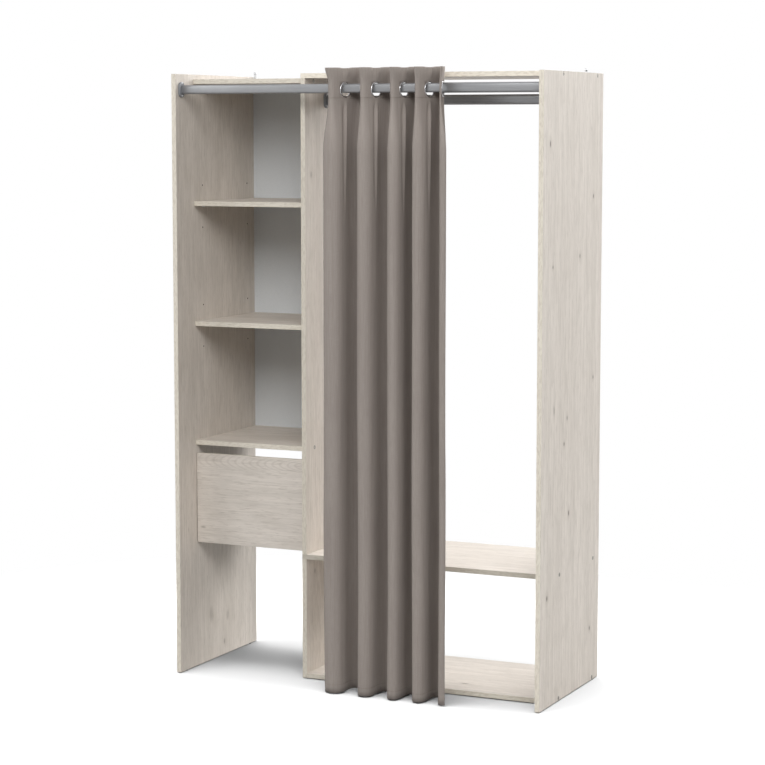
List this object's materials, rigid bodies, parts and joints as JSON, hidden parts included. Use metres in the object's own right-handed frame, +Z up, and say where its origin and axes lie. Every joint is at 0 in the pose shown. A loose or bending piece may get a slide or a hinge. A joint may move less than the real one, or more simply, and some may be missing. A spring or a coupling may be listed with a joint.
{
  "type": "open wardrobe with curtain",
  "caption": "Open two-bay wardrobe of pale boards: shelves over a plain drawer, a hanging bay with rail and low shelf, and a grey-brown eyelet curtain that slides on a front rod.",
  "frame": {"origin": "on the floor, under the middle of the whole part's outer box", "axes": "+Z up, -Y out of the open front, +X to the right of someone who faces it"},
  "size_m": [1.322, 0.6022, 2.047],
  "materials": {
    "wood_board": "pale grained board, satin",
    "white_back_board": "thin white-faced board, matt",
    "white_drawer_board": "white-faced board, matt",
    "tube": "grey metallic lacquer",
    "cup": "moulded, grey",
    "zinc": "zinc plated",
    "eyelet": "bright plated",
    "dowel": "plain beech",
    "runner": "moulded, off-white",
    "glide": "moulded, dark",
    "cloth": "plain weave, grey-brown"
  },
  "bodies": {
    "cabinet": {"left_side_panel": "wood_board", "right_side_panel": "wood_board", "upper_divider": "wood_board", "lower_divider": "wood_board", "right_top_board": "wood_board", "left_top_board": "wood_board", "upper_shelf": "wood_board", "middle_shelf": "wood_board", "fixed_shelf": "wood_board", "hanging_space_shelf": "wood_board", "bottom_shelf": "wood_board", "back_panel": "white_back_board", "left_drawer_runner": "runner", "right_drawer_runner": "runner", "curtain_rod_inner_tube": "tube", "curtain_rod_outer_tube": "tube", "hanging_rail_inner_tube": "tube", "hanging_rail_outer_tube": "tube", "curtain_rod_left_cup": "cup", "curtain_rod_right_cup": "cup", "hanging_rail_left_cup": "cup", "hanging_rail_right_cup": "cup", "left_wall_bracket": "zinc", "right_wall_bracket": "zinc", "middle_shelf_pin_left_front": "zinc", "middle_shelf_pin_right_front": "zinc", "middle_shelf_pin_left_back": "zinc", "middle_shelf_pin_right_back": "zinc", "upper_shelf_pin_left_front": "zinc", "upper_shelf_pin_right_front": "zinc", "upper_shelf_pin_left_back": "zinc", "upper_shelf_pin_right_back": "zinc", "right_panel_screw_top_front": "zinc", "right_panel_screw_top_back": "zinc", "right_panel_screw_shelf_front": "zinc", "right_panel_screw_shelf_back": "zinc", "right_panel_screw_bottom_front": "zinc", "right_panel_screw_bottom_back": "zinc", "left_panel_glide_front": "glide", "left_panel_glide_back": "glide", "divider_glide_front": "glide", "divider_glide_back": "glide", "right_panel_glide_front": "glide", "right_panel_glide_back": "glide", "divider_dowel_front": "dowel", "divider_dowel_back": "dowel"},
    "drawer": {"drawer_front": "wood_board", "drawer_left_side": "white_drawer_board", "drawer_right_side": "white_drawer_board", "drawer_back": "white_drawer_board", "drawer_bottom": "white_back_board"},
    "curtain": {"curtain": "cloth", "curtain_eyelet_1": "eyelet", "curtain_eyelet_2": "eyelet", "curtain_eyelet_3": "eyelet", "curtain_eyelet_4": "eyelet", "curtain_eyelet_5": "eyelet", "curtain_eyelet_6": "eyelet", "curtain_eyelet_7": "eyelet", "curtain_eyelet_8": "eyelet"}
  },
  "joints": [
    {"name": "drawer_slide", "type": "slide", "parent": "cabinet", "child": "drawer", "axis": [0, -1, 0], "range_m": [0, 0.3]},
    {"name": "curtain_slide", "type": "slide", "parent": "cabinet", "child": "curtain", "axis": [1, 0, 0], "range_m": [-0.145, 0.28]}
  ]
}
